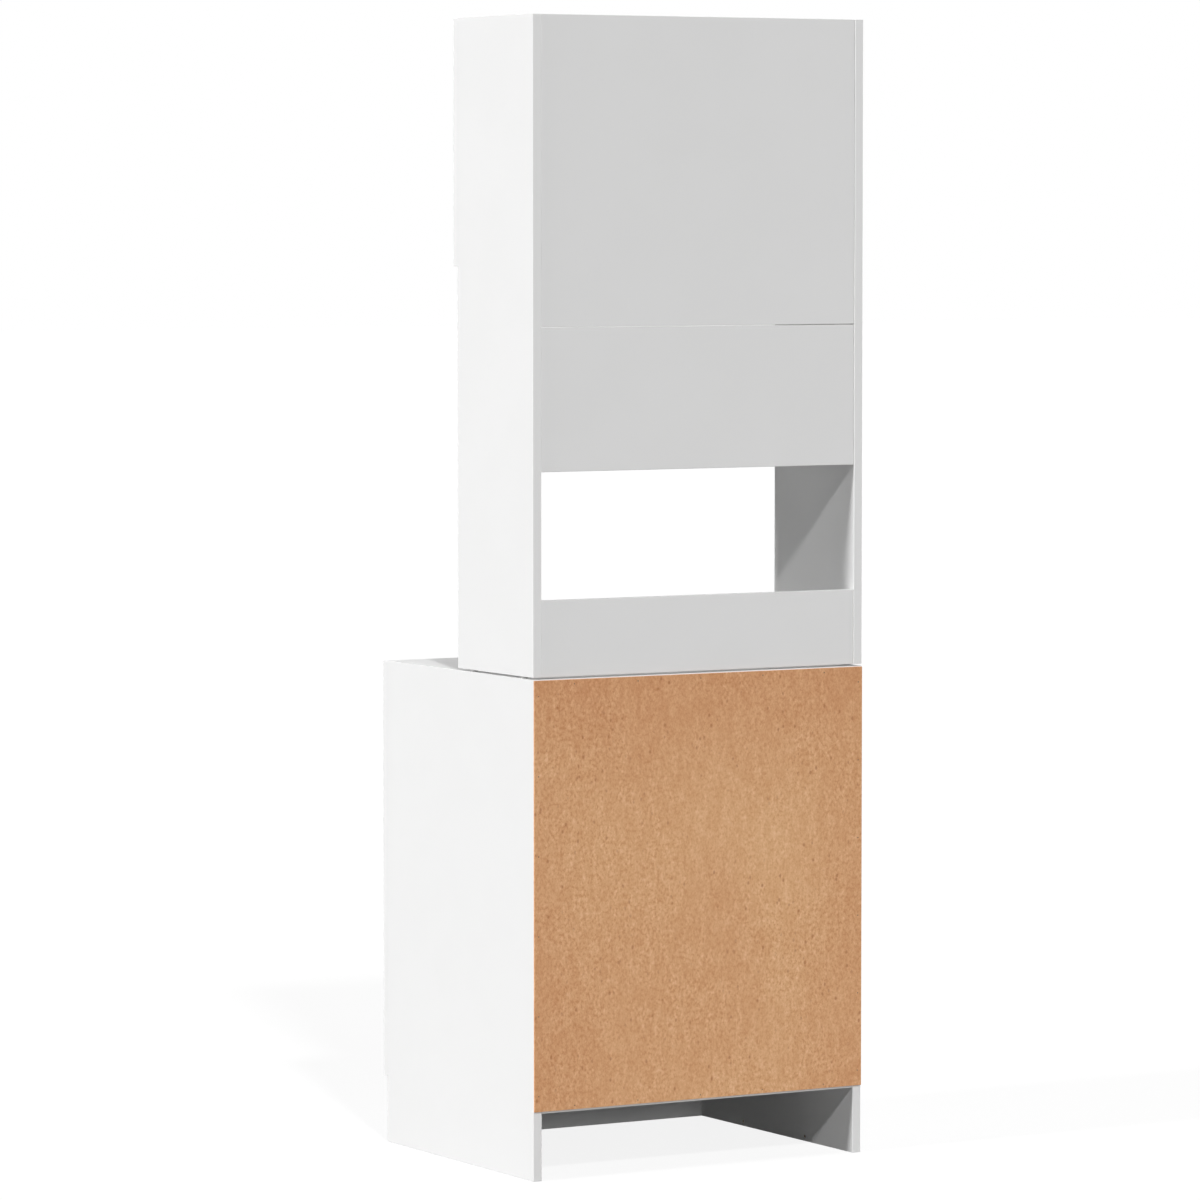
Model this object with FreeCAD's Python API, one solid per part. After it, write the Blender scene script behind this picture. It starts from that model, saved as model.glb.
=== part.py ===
import FreeCAD, Part
import os
from FreeCAD import Vector

# Tall kitchen cabinet in two stacked units, built from white faced boards.
# The base unit is deep and has two doors, and its back is a thin sheet of hardboard.
# The upper unit is shallow. It has two doors over an open shelf and an open niche, and an
# open window in its back behind the niche.
# Millimetres, +Z up, the doors face -Y, and the origin is the middle of the box on the floor.

# Overall sizes
WIDTH = 600.0
BOARD = 15.0
BASE_HEIGHT = 778.5
BASE_DEPTH = 476.0
UPPER_HEIGHT = 1018.5
UPPER_DEPTH = 239.0
STACK_GAP = 3.0
EDGE_EASE = 0.7
CUT_OVERRUN = 1.0
FIT = 0.05
HOLE_RUNOUT = 0.5

# Base unit: plinth, hardboard back and loose shelf
PLINTH_HEIGHT = 105.0
PLINTH_THICKNESS = 12.0
BACK_THICKNESS = 3.0
BACK_TOP_REVEAL = 1.5
BACK_BOTTOM_REVEAL = 3.5
BACK_SIDE_REVEAL = 1.0
SHELF_HEIGHT = 440.0
SHELF_SIDE_CLEARANCE = 1.0
SHELF_FRONT_SETBACK = 20.0
SHELF_BACK_CLEARANCE = 2.0

# Upper unit: back boards from the bottom up, and the heights of its shelves
RAIL_HEIGHT = 118.5
WINDOW_HEIGHT = 198.0
MIDDLE_BACK_HEIGHT = 221.7
BACK_BOARD_GAP = 1.1
BACK_BOARD_RECESS = 1.0
BACK_BOARD_CLEARANCE = 0.5
DOOR_COMPARTMENT_HEIGHT = 389.0

# Doors
DOOR_THICKNESS = 15.0
DOOR_GAP = 2.0
DOOR_SIDE_REVEAL = 2.5
DOOR_MEETING_GAP = 3.0
DOOR_END_REVEAL = 1.5

# Concealed cup hinges with one pin, two to a door
HINGE_INSET_BASE = 90.0
HINGE_INSET_UPPER = 75.0
CUP_RADIUS = 17.5
CUP_DOOR_SKIN = 2.0
CUP_WALL = 0.6
CUP_EDGE_DISTANCE = 3.0
CUP_CLEARANCE = 0.1
WING_THICKNESS = 1.0
WING_START = 13.0
WING_REACH = 27.0
WING_HALF_WIDTH = 6.0
PIN_RADIUS = 1.1
KNUCKLE_RADIUS = 2.0
KNUCKLE_CLEARANCE = 0.4
KNUCKLE_HALF_LENGTH = 3.0
EAR_CLEARANCE = 0.3
EAR_THICKNESS = 2.0
EAR_HALF_WIDTH = 2.3
ARM_THICKNESS = 2.0
ARM_REACH = 12.2
ARM_HALF_WIDTH = 7.0
ARM_SHOULDER = 0.8
ARM_LENGTH = 55.0
PLATE_HALF_WIDTH = 8.0
PLATE_SETBACK = 12.0
FOOT_THICKNESS = 2.0
FOOT_HALF_LENGTH = 8.0
FOOT_REACH = 24.0
FOOT_SETBACK = 37.0
FOOT_SCREW_OFFSET = 16.0
ARM_SCREW_SETBACK = 26.0
ARM_SCREW_RADIUS = 2.5
ARM_SCREW_HEAD_RADIUS = 3.5
ARM_SCREW_HEAD = 2.0
WOOD_SCREW_RADIUS = 1.5
WOOD_SCREW_HEAD_RADIUS = 3.5
WOOD_SCREW_HEAD = 1.2
CUP_SCREW_LENGTH = 10.0
CUP_SCREW_OFFSET = 22.5
PLATE_SCREW_SKIN = 3.0

# Bar handles, upright beside the edge where the doors meet
HANDLE_PROJECTION = 30.0
HANDLE_LENGTH = 188.0
HANDLE_POST_SPACING = 128.0
HANDLE_RADIUS = 5.0
HANDLE_END_CHAMFER = 0.8
HANDLE_POST_RADIUS = 4.0
HANDLE_EDGE_DISTANCE = 35.0
HANDLE_END_DISTANCE = 60.0
HANDLE_SCREW_RADIUS = 2.0
HANDLE_SCREW_ENTRY = 12.0
HANDLE_SCREW_HEAD_RADIUS = 4.0
HANDLE_SCREW_HEAD = 2.4
HANDLE_HOLE_RADIUS = 2.5

# Bumpers on the backs of the doors
BUMPER_RADIUS = 4.0
BUMPER_CLEARANCE = 0.4
BUMPER_EDGE_DISTANCE = 14.0

# Cam joints and dowels that hold the boards together
CAM_RADIUS = 7.4
CAM_SKIN = 2.6
CAM_CLEARANCE = 0.1
CAM_OFFSET = 34.0
CAM_SLOT_LENGTH = 9.0
CAM_SLOT_WIDTH = 1.6
CAM_SLOT_DEPTH = 2.5
BOLT_THREAD_RADIUS = 2.5
BOLT_THREAD_LENGTH = 9.0
BOLT_SHANK_RADIUS = 3.0
BOLT_NECK_RADIUS = 1.75
BOLT_NECK_LENGTH = 6.0
BOLT_HEAD_RADIUS = 2.9
BOLT_HEAD_LENGTH = 3.0
BOLT_CLEARANCE = 0.3
BOLT_END_CLEARANCE = 1.0
DOWEL_RADIUS = 4.0
DOWEL_SKIN = 4.0
DOWEL_IN_BOARD = 19.0
BASE_CAM_INSET = 143.0
BASE_DOWEL_INSET = 52.0
UPPER_CAM_INSET = 40.0
BACK_CAM_INSET = 25.0
PLINTH_DOWEL_RADIUS = 3.0
PLINTH_DOWEL_INSET = 28.0

# Shelf pins, stacking pins and the pins of the hardboard back
SHELF_PIN_RADIUS = 2.5
SHELF_PIN_LENGTH = 8.5
SHELF_PIN_INSET = 60.0
SHELF_PIN_DROP = 3.5
SHELF_PIN_PITCH = 64.0
LEDGE_LENGTH = 9.0
LEDGE_HALF_WIDTH = 4.5
LEDGE_HEIGHT = 6.0
STACK_PIN_RADIUS = 4.0
STACK_PIN_DEPTH = 20.0
STACK_COLLAR_INSET = 2.0
STACK_PIN_INSET = 40.0
NAIL_RADIUS = 0.7
NAIL_LENGTH = 18.0
NAIL_HEAD_RADIUS = 1.1
NAIL_HEAD = 0.5
NAIL_PITCH = 110.0
NAIL_END_INSET = 24.0
NAIL_SINK = 0.2

# Places that follow from the sizes
X_OUT = WIDTH / 2
X_IN = X_OUT - BOARD
DEPTH = BACK_THICKNESS + BASE_DEPTH + DOOR_GAP + DOOR_THICKNESS + HANDLE_PROJECTION
Y_BACK = DEPTH / 2 - BACK_THICKNESS
Y_BASE = Y_BACK - BASE_DEPTH
Y_UPPER = Y_BACK - UPPER_DEPTH
Y_BACK_BOARD = Y_BACK - BACK_BOARD_RECESS
Y_SHELVES = Y_BACK_BOARD - BOARD
Z_UPPER = BASE_HEIGHT + STACK_GAP
Z_TOP = Z_UPPER + UPPER_HEIGHT
Z_WINDOW = Z_UPPER + RAIL_HEIGHT
Z_MIDDLE = Z_WINDOW + WINDOW_HEIGHT
Z_HIGH_BACK = Z_MIDDLE + MIDDLE_BACK_HEIGHT + BACK_BOARD_GAP
Z_COMPARTMENT = Z_TOP - DOOR_COMPARTMENT_HEIGHT
CUP_DEPTH = DOOR_THICKNESS - CUP_DOOR_SKIN
PLATE_SCREW_LENGTH = FOOT_THICKNESS + BOARD - PLATE_SCREW_SKIN
BUMPER_THICKNESS = DOOR_GAP - BUMPER_CLEARANCE
CAM_DEPTH = BOARD - CAM_SKIN
BOLT_SHANK_LENGTH = CAM_OFFSET - BOLT_END_CLEARANCE - BOLT_HEAD_LENGTH - BOLT_NECK_LENGTH
BOLT_HOLE_RADIUS = max(BOLT_SHANK_RADIUS, BOLT_HEAD_RADIUS) + BOLT_CLEARANCE
DOWEL_IN_SIDE = BOARD - DOWEL_SKIN
STACK_COLLAR_RADIUS = BOARD / 2 - STACK_COLLAR_INSET
AXES = (Vector(1, 0, 0), Vector(0, 1, 0), Vector(0, 0, 1))
SIDES = (-1, 1)
SIDE_NAMES = {-1: "left", 1: "right"}


def block(x, y, z):
    """A box between two values on each axis, given in either order."""
    low = Vector(min(x), min(y), min(z))
    return Part.makeBox(max(x) - low.x, max(y) - low.y, max(z) - low.z, low)


def board(x, y, z):
    """A box with every edge a little eased, as a sawn and banded board has."""
    plain = block(x, y, z)
    return plain.makeFillet(EDGE_EASE, plain.Edges)


def rod(radius, start, end):
    return Part.makeCylinder(radius, (end - start).Length, start, end - start)


def joined(*shapes):
    return shapes[0].fuse(list(shapes[1:])).removeSplitter()


def mirrored(shape, side):
    """A shape drawn for the left side, as it is on either side."""
    if side == SIDES[0]:
        return shape
    return shape.mirror(Vector(0, 0, 0), Vector(1, 0, 0))


class Pieces:
    """Solids by node, and the holes that are still to be cut in each node."""

    def __init__(self):
        self.solids = {}
        self.holes = {}

    def add(self, node, *shapes):
        self.solids.setdefault(node, []).extend(shapes)

    def cut(self, node, *holes):
        self.holes.setdefault(node, []).extend(holes)

    def write(self, folder):
        os.makedirs(folder, exist_ok=True)
        for node, shapes in self.solids.items():
            if node in self.holes:
                shapes = [shape.cut(self.holes[node]) for shape in shapes]
            solids = [solid for shape in shapes for solid in shape.Solids]
            whole = solids[0] if len(solids) == 1 else Part.makeCompound(solids)
            whole.exportStep(os.path.join(folder, node + ".step"))
            print(node, len(solids), all(solid.isValid() for solid in solids))


pieces = Pieces()


def side_node(unit, side):
    return f"{unit}_side_{SIDE_NAMES[side]}"


def cam_joint(node, unit, side, y, z, inward):
    """A cam in the board and its bolt in the side, on a line along X at y and z.

    inward is the way that the cam goes into the face of the board.
    """
    end = Vector(side * X_IN, y, z)
    along = Vector(-side, 0, 0)
    stations = [
        (-BOLT_THREAD_LENGTH, 0, BOLT_THREAD_RADIUS),
        (0, BOLT_SHANK_LENGTH, BOLT_SHANK_RADIUS),
        (BOLT_SHANK_LENGTH, BOLT_SHANK_LENGTH + BOLT_NECK_LENGTH, BOLT_NECK_RADIUS),
    ]
    head_start = BOLT_SHANK_LENGTH + BOLT_NECK_LENGTH
    stations.append((head_start, head_start + BOLT_HEAD_LENGTH, BOLT_HEAD_RADIUS))
    pieces.add("cam_bolts", joined(*[rod(r, end + along * a, end + along * b) for a, b, r in stations]))
    bolt_hole(unit, side, end)

    centre = end + along * CAM_OFFSET
    face = centre - inward * (BOARD / 2)
    channel = rod(BOLT_HOLE_RADIUS, end - along * CUT_OVERRUN, centre)
    cam = rod(CAM_RADIUS, face + inward * CAM_CLEARANCE, face + inward * CAM_DEPTH)
    pieces.add("cam_locks", cam.cut([channel] + driver_slots(face, inward)))
    floor = face + inward * (CAM_DEPTH + CAM_CLEARANCE)
    seat = rod(CAM_RADIUS + CAM_CLEARANCE, face - inward * CUT_OVERRUN, floor)
    pieces.cut(node, seat, channel)


def driver_slots(face, inward):
    """Two crossed slots in the face of a cam, for the screwdriver that turns it."""
    across = [axis for axis in AXES if abs(axis.dot(inward)) < 0.5]
    slots = []
    for long_way, short_way in (across, across[::-1]):
        half = long_way * (CAM_SLOT_LENGTH / 2) + short_way * (CAM_SLOT_WIDTH / 2)
        start = face - inward * CUT_OVERRUN - half
        end = face + inward * CAM_SLOT_DEPTH + half
        slots.append(block((start.x, end.x), (start.y, end.y), (start.z, end.z)))
    return slots


def bolt_hole(unit, side, inner):
    """A blind hole for a cam bolt, from a point on the inner face of a side."""
    outward = Vector(side, 0, 0)
    bottom = inner + outward * (BOLT_THREAD_LENGTH + HOLE_RUNOUT)
    mouth = inner - outward * CUT_OVERRUN
    pieces.cut(side_node(unit, side), rod(BOLT_THREAD_RADIUS + FIT, bottom, mouth))


def dowel_joint(node, unit, side, y, z, radius=DOWEL_RADIUS, group="dowels"):
    """A wooden dowel half in the end of a board and half in the side."""
    end = Vector(side * X_IN, y, z)
    along = Vector(-side, 0, 0)
    pieces.add(group, rod(radius, end - along * DOWEL_IN_SIDE, end + along * DOWEL_IN_BOARD))
    side_end = end - along * (DOWEL_IN_SIDE + HOLE_RUNOUT)
    board_end = end + along * (DOWEL_IN_BOARD + HOLE_RUNOUT)
    hole = rod(radius + FIT, side_end, board_end)
    pieces.cut(node, hole)
    pieces.cut(side_node(unit, side), hole)


def base_unit_boards():
    """Two full-height sides with a top, a bottom and a plinth between them.

    The sides are drilled alike at both ends, so the floor end keeps its unused bolt holes.
    """
    for side in SIDES:
        pieces.add(
            side_node("base", side),
            board((side * X_OUT, side * X_IN), (Y_BACK, Y_BASE), (0, BASE_HEIGHT)),
        )
    across = (-X_IN, X_IN)
    deep = (Y_BACK, Y_BASE)
    pieces.add("base_top_panel", board(across, deep, (BASE_HEIGHT - BOARD, BASE_HEIGHT)))
    pieces.add("base_bottom_panel", board(across, deep, (PLINTH_HEIGHT, PLINTH_HEIGHT + BOARD)))
    y_plinth = (Y_BASE, Y_BASE + PLINTH_THICKNESS)
    pieces.add("plinth", board(across, y_plinth, (0, PLINTH_HEIGHT)))

    up = Vector(0, 0, 1)
    cam_rows = (Y_BACK - BASE_CAM_INSET, Y_BASE + BASE_CAM_INSET)
    dowel_rows = (Y_BACK - BASE_DOWEL_INSET, Y_BASE + BASE_DOWEL_INSET)
    z_top = BASE_HEIGHT - BOARD / 2
    z_bottom = PLINTH_HEIGHT + BOARD / 2
    for side in SIDES:
        for y in cam_rows:
            cam_joint("base_top_panel", "base", side, y, z_top, up)
            cam_joint("base_bottom_panel", "base", side, y, z_bottom, up)
            bolt_hole("base", side, Vector(side * X_IN, y, BOARD / 2))
        for y in dowel_rows:
            dowel_joint("base_top_panel", "base", side, y, z_top)
            dowel_joint("base_bottom_panel", "base", side, y, z_bottom)
        for z in (PLINTH_DOWEL_INSET, PLINTH_HEIGHT - PLINTH_DOWEL_INSET):
            y = Y_BASE + PLINTH_THICKNESS / 2
            dowel_joint("plinth", "base", side, y, z, PLINTH_DOWEL_RADIUS, "plinth_dowels")


def base_back():
    """A hardboard sheet laid on the rear edges of the base unit and pinned all round."""
    x_edge = X_OUT - BACK_SIDE_REVEAL
    z_low = PLINTH_HEIGHT + BACK_BOTTOM_REVEAL
    z_high = BASE_HEIGHT - BACK_TOP_REVEAL
    y_face = Y_BACK + BACK_THICKNESS
    pieces.add("base_back_panel", block((-x_edge, x_edge), (Y_BACK, y_face), (z_low, z_high)))

    z_first = z_low + NAIL_END_INSET
    rise = z_high - NAIL_END_INSET - z_first
    steps = int(rise / NAIL_PITCH)
    for side in SIDES:
        x = side * (X_IN + x_edge) / 2
        for i in range(steps + 1):
            back_nail(side_node("base", side), x, z_first + rise * i / steps, y_face)

    rows = {
        "base_bottom_panel": (z_low + PLINTH_HEIGHT + BOARD) / 2,
        "base_top_panel": (z_high + BASE_HEIGHT - BOARD) / 2,
    }
    count = int(2 * X_IN / NAIL_PITCH)
    for node, z in rows.items():
        for i in range(count):
            back_nail(node, X_IN * ((2 * i + 1) / count - 1), z, y_face)


def back_nail(node, x, z, y_face):
    """A pin through the hardboard into the rear edge of the board behind it."""
    head_end = Vector(x, y_face - NAIL_SINK, z)
    neck = head_end - Vector(0, NAIL_HEAD, 0)
    point = head_end - Vector(0, NAIL_LENGTH, 0)
    head = rod(NAIL_HEAD_RADIUS, neck, head_end)
    pieces.add("back_panel_nails", joined(head, rod(NAIL_RADIUS, point, neck)))
    head_hole = rod(NAIL_HEAD_RADIUS + FIT, neck, head_end + Vector(0, CUT_OVERRUN, 0))
    shank_hole = rod(NAIL_RADIUS + FIT, point - Vector(0, HOLE_RUNOUT, 0), neck)
    pieces.cut("base_back_panel", head_hole, shank_hole)
    pieces.cut(node, shank_hole)


def base_shelf():
    """A loose shelf on four pins, with spare holes a step above and below them."""
    x_edge = X_IN - SHELF_SIDE_CLEARANCE
    y_span = (Y_BACK - SHELF_BACK_CLEARANCE, Y_BASE + SHELF_FRONT_SETBACK)
    pieces.add("base_shelf", board((-x_edge, x_edge), y_span, (SHELF_HEIGHT, SHELF_HEIGHT + BOARD)))
    for side in SIDES:
        for y in (Y_BACK - SHELF_PIN_INSET, Y_BASE + SHELF_PIN_INSET):
            shelf_pin(side, y)


def shelf_pin(side, y):
    centre = Vector(side * X_IN, y, SHELF_HEIGHT - SHELF_PIN_DROP)
    outward = Vector(side, 0, 0)
    stem = rod(SHELF_PIN_RADIUS, centre, centre + outward * SHELF_PIN_LENGTH)
    ledge = block(
        (side * X_IN, side * (X_IN - LEDGE_LENGTH)),
        (y - LEDGE_HALF_WIDTH, y + LEDGE_HALF_WIDTH),
        (SHELF_HEIGHT - LEDGE_HEIGHT, SHELF_HEIGHT),
    )
    pieces.add("shelf_pins", joined(ledge, stem))
    for step in (-1, 0, 1):
        start = centre + Vector(0, 0, step * SHELF_PIN_PITCH)
        bottom = start + outward * (SHELF_PIN_LENGTH + HOLE_RUNOUT)
        mouth = start - outward * CUT_OVERRUN
        pieces.cut(side_node("base", side), rod(SHELF_PIN_RADIUS + FIT, mouth, bottom))


def upper_unit_boards():
    """Two sides, three boards across and three back boards set between the sides."""
    for side in SIDES:
        pieces.add(
            side_node("upper", side),
            board((side * X_OUT, side * X_IN), (Y_BACK, Y_UPPER), (Z_UPPER, Z_TOP)),
        )
    across = (-X_IN, X_IN)
    levels = {
        "upper_top_panel": Z_TOP - BOARD,
        "compartment_floor": Z_COMPARTMENT,
        "niche_shelf": Z_MIDDLE,
    }
    down, up = Vector(0, 0, -1), Vector(0, 0, 1)
    cam_rows = (Y_SHELVES - UPPER_CAM_INSET, Y_UPPER + UPPER_CAM_INSET)
    for node, z in levels.items():
        pieces.add(node, board(across, (Y_SHELVES, Y_UPPER), (z, z + BOARD)))
        inward = down if node == "compartment_floor" else up
        for side in SIDES:
            for y in cam_rows:
                cam_joint(node, "upper", side, y, z + BOARD / 2, inward)
            dowel_joint(node, "upper", side, sum(cam_rows) / 2, z + BOARD / 2)

    x_back = X_IN - BACK_BOARD_CLEARANCE
    spans = {
        "upper_back_panel": (Z_HIGH_BACK, Z_TOP),
        "middle_back_panel": (Z_MIDDLE, Z_MIDDLE + MIDDLE_BACK_HEIGHT),
        "back_rail": (Z_UPPER, Z_WINDOW),
    }
    for node, (low, high) in spans.items():
        pieces.add(node, board((-x_back, x_back), (Y_SHELVES, Y_BACK_BOARD), (low, high)))
        y = Y_BACK_BOARD - BOARD / 2
        for side in SIDES:
            for z in (low + BACK_CAM_INSET, high - BACK_CAM_INSET):
                cam_joint(node, "upper", side, y, z, Vector(0, 1, 0))
            dowel_joint(node, "upper", side, y, (low + high) / 2)


def stacking_pins():
    """Collared pins between the two units: the collars carry the upper sides clear of the base."""
    for side in SIDES:
        for y in (Y_BACK - STACK_PIN_INSET, Y_UPPER + STACK_PIN_INSET):
            foot = Vector(side * (X_OUT - BOARD / 2), y, BASE_HEIGHT)
            head = foot + Vector(0, 0, STACK_GAP)
            low = foot - Vector(0, 0, STACK_PIN_DEPTH)
            high = head + Vector(0, 0, STACK_PIN_DEPTH)
            collar = rod(STACK_COLLAR_RADIUS, foot, head)
            pieces.add("stacking_pins", joined(collar, rod(STACK_PIN_RADIUS, low, high)))
            deep = Vector(0, 0, HOLE_RUNOUT)
            pieces.cut(side_node("base", side), rod(STACK_PIN_RADIUS + FIT, low - deep, head))
            pieces.cut(side_node("upper", side), rod(STACK_PIN_RADIUS + FIT, foot, high + deep))


class Hinge:
    """One hinge of a left door: across from the outer face of the side, out from its front edge."""

    def __init__(self, y_front, z):
        self.y_front = y_front
        self.z = z
        self.cup_across = DOOR_SIDE_REVEAL + CUP_EDGE_DISTANCE + CUP_RADIUS
        pin_from_wall = CUP_WALL + KNUCKLE_CLEARANCE + KNUCKLE_RADIUS
        self.pin_across = DOOR_SIDE_REVEAL + CUP_EDGE_DISTANCE + pin_from_wall
        self.pin_out = DOOR_GAP + CUP_DEPTH - pin_from_wall
        self.arm_mid = self.pin_across + ARM_REACH
        self.arm_span = (self.arm_mid - ARM_THICKNESS / 2, self.arm_mid + ARM_THICKNESS / 2)

    def point(self, across, out, up=0.0):
        return Vector(-X_OUT + across, self.y_front - out, self.z + up)

    def box(self, across, out, up):
        ends = [self.point(*corner) for corner in zip(across, out, up)]
        return block((ends[0].x, ends[1].x), (ends[0].y, ends[1].y), (ends[0].z, ends[1].z))

    def well(self, radius, depth):
        """A round hole or dish in the back of the door."""
        start = self.point(self.cup_across, DOOR_GAP)
        return rod(radius, start, start + Vector(0, -depth, 0))

    def cup(self):
        dish = self.well(CUP_RADIUS, CUP_DEPTH).cut(self.well(CUP_RADIUS - CUP_WALL, CUP_DEPTH - CUP_WALL))
        inner = KNUCKLE_HALF_LENGTH + EAR_CLEARANCE
        wing_across = (self.cup_across - WING_HALF_WIDTH, self.cup_across + WING_HALF_WIDTH)
        whole = dish
        for turn in SIDES:
            ear = self.box(
                (self.pin_across - EAR_HALF_WIDTH, self.pin_across + EAR_HALF_WIDTH),
                (self.pin_out - EAR_HALF_WIDTH, DOOR_GAP + CUP_DEPTH),
                (turn * inner, turn * (inner + EAR_THICKNESS)),
            )
            wing = self.box(
                wing_across,
                (DOOR_GAP - WING_THICKNESS, DOOR_GAP),
                (turn * WING_START, turn * WING_REACH),
            )
            whole = joined(whole, ear.common(self.well(CUP_RADIUS, CUP_DEPTH)), wing)
        screw_holes = [self.cup_screw_hole(turn, WOOD_SCREW_RADIUS + FIT) for turn in SIDES]
        return whole.cut([self.pin(FIT)] + screw_holes)

    def pin(self, clearance=0.0):
        reach = KNUCKLE_HALF_LENGTH + EAR_CLEARANCE + EAR_THICKNESS
        low = self.point(self.pin_across, self.pin_out, -reach)
        return rod(PIN_RADIUS + clearance, low, low + Vector(0, 0, 2 * reach))

    def cup_screw_hole(self, turn, radius):
        start = self.point(self.cup_across, DOOR_GAP - WING_THICKNESS - CUT_OVERRUN, turn * CUP_SCREW_OFFSET)
        return rod(radius, start, start - Vector(0, CUT_OVERRUN + CUP_SCREW_LENGTH + HOLE_RUNOUT, 0))

    def cup_screw(self, turn):
        seat = self.point(self.cup_across, DOOR_GAP - WING_THICKNESS, turn * CUP_SCREW_OFFSET)
        top = seat + Vector(0, WOOD_SCREW_HEAD, 0)
        return joined(
            rod(WOOD_SCREW_HEAD_RADIUS, seat, top),
            rod(WOOD_SCREW_RADIUS, seat - Vector(0, CUP_SCREW_LENGTH, 0), seat),
        )

    def arm(self):
        """A cranked strap: a knuckle on the pin, a leg across the cup and a leg back along the side."""
        half = KNUCKLE_HALF_LENGTH
        low = self.point(self.pin_across, self.pin_out, -half)
        knuckle = rod(KNUCKLE_RADIUS, low, low + Vector(0, 0, 2 * half))
        thick = ARM_THICKNESS / 2
        leg_across = self.box(
            (self.pin_across, self.arm_span[1]),
            (self.pin_out - thick, self.pin_out + thick),
            (-half, half),
        )
        leg_in_cup = self.box(self.arm_span, (ARM_SHOULDER, self.pin_out + thick), (-half, half))
        leg_along = self.box(self.arm_span, (-ARM_LENGTH, ARM_SHOULDER), (-ARM_HALF_WIDTH, ARM_HALF_WIDTH))
        bore_low = low - Vector(0, 0, CUT_OVERRUN)
        bore = rod(PIN_RADIUS + FIT, bore_low, bore_low + Vector(0, 0, 2 * (half + CUT_OVERRUN)))
        strap = joined(knuckle, leg_across, leg_in_cup, leg_along)
        return strap.cut([bore, self.arm_screw_hole()])

    def arm_screw_hole(self):
        start = self.point(BOARD + HOLE_RUNOUT, -ARM_SCREW_SETBACK)
        end = self.point(self.arm_span[1] + CUT_OVERRUN, -ARM_SCREW_SETBACK)
        return rod(ARM_SCREW_RADIUS + FIT, start, end)

    def arm_screw(self):
        seat = self.point(self.arm_span[1], -ARM_SCREW_SETBACK)
        top = seat + Vector(ARM_SCREW_HEAD, 0, 0)
        end = self.point(BOARD + HOLE_RUNOUT, -ARM_SCREW_SETBACK)
        return joined(rod(ARM_SCREW_HEAD_RADIUS, seat, top), rod(ARM_SCREW_RADIUS, end, seat))

    def plate(self):
        """The block that the arm lies on, with a foot screwed to the inside of the side."""
        body = self.box(
            (BOARD, self.arm_span[0]),
            (-ARM_LENGTH, -PLATE_SETBACK),
            (-PLATE_HALF_WIDTH, PLATE_HALF_WIDTH),
        )
        foot = self.box(
            (BOARD, BOARD + FOOT_THICKNESS),
            (-FOOT_SETBACK - FOOT_HALF_LENGTH, -FOOT_SETBACK + FOOT_HALF_LENGTH),
            (-FOOT_REACH, FOOT_REACH),
        )
        holes = [self.plate_screw_hole(turn) for turn in SIDES]
        return joined(body, foot).cut(holes + [self.arm_screw_hole()])

    def plate_screw_seat(self, turn):
        return self.point(BOARD + FOOT_THICKNESS, -FOOT_SETBACK, turn * FOOT_SCREW_OFFSET)

    def plate_screw_hole(self, turn):
        seat = self.plate_screw_seat(turn)
        deep = Vector(PLATE_SCREW_LENGTH + HOLE_RUNOUT, 0, 0)
        return rod(WOOD_SCREW_RADIUS + FIT, seat - deep, seat + Vector(CUT_OVERRUN, 0, 0))

    def plate_screw(self, turn):
        seat = self.plate_screw_seat(turn)
        return joined(
            rod(WOOD_SCREW_HEAD_RADIUS, seat, seat + Vector(WOOD_SCREW_HEAD, 0, 0)),
            rod(WOOD_SCREW_RADIUS, seat - Vector(PLATE_SCREW_LENGTH, 0, 0), seat),
        )


def door(unit, side, y_front, z_low, z_high, hinge_inset, handle_high):
    """A door with its hinges, handle and bumpers. The left door is drawn, and the right one mirrors it."""
    name = f"{unit}_{SIDE_NAMES[side]}_door"
    x_hinge_edge = -X_OUT + DOOR_SIDE_REVEAL
    x_free_edge = -DOOR_MEETING_GAP / 2
    y_rear = y_front - DOOR_GAP
    y_face = y_rear - DOOR_THICKNESS
    pieces.add(name, mirrored(board((x_hinge_edge, x_free_edge), (y_rear, y_face), (z_low, z_high)), side))

    for z in (z_low + hinge_inset, z_high - hinge_inset):
        hinge = Hinge(y_front, z)
        pieces.add(name + "_hinge_cups", mirrored(hinge.cup(), side))
        pieces.add(name + "_hinge_pins", mirrored(hinge.pin(), side))
        pieces.add("hinge_arms", mirrored(hinge.arm(), side))
        pieces.add("hinge_plates", mirrored(hinge.plate(), side))
        pieces.add("hinge_arm_screws", mirrored(hinge.arm_screw(), side))
        pieces.cut(name, mirrored(hinge.well(CUP_RADIUS + CUP_CLEARANCE, CUP_DEPTH + CUP_CLEARANCE), side))
        for turn in SIDES:
            pieces.add(name + "_cup_screws", mirrored(hinge.cup_screw(turn), side))
            pieces.add("hinge_plate_screws", mirrored(hinge.plate_screw(turn), side))
            pieces.cut(name, mirrored(hinge.cup_screw_hole(turn, WOOD_SCREW_RADIUS + FIT), side))
            pieces.cut(side_node(unit, side), mirrored(hinge.plate_screw_hole(turn), side))

    reach = HANDLE_END_DISTANCE + HANDLE_LENGTH / 2
    z_handle = z_high - reach if handle_high else z_low + reach
    handle(name, side, x_free_edge - HANDLE_EDGE_DISTANCE, y_rear, y_face, z_handle)

    for z in (z_low + BOARD / 2, z_high - BOARD / 2):
        seat = Vector(x_free_edge - BUMPER_EDGE_DISTANCE, y_rear, z)
        bumper = rod(BUMPER_RADIUS, seat, seat + Vector(0, BUMPER_THICKNESS, 0))
        pieces.add(name + "_bumpers", mirrored(bumper, side))


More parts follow.
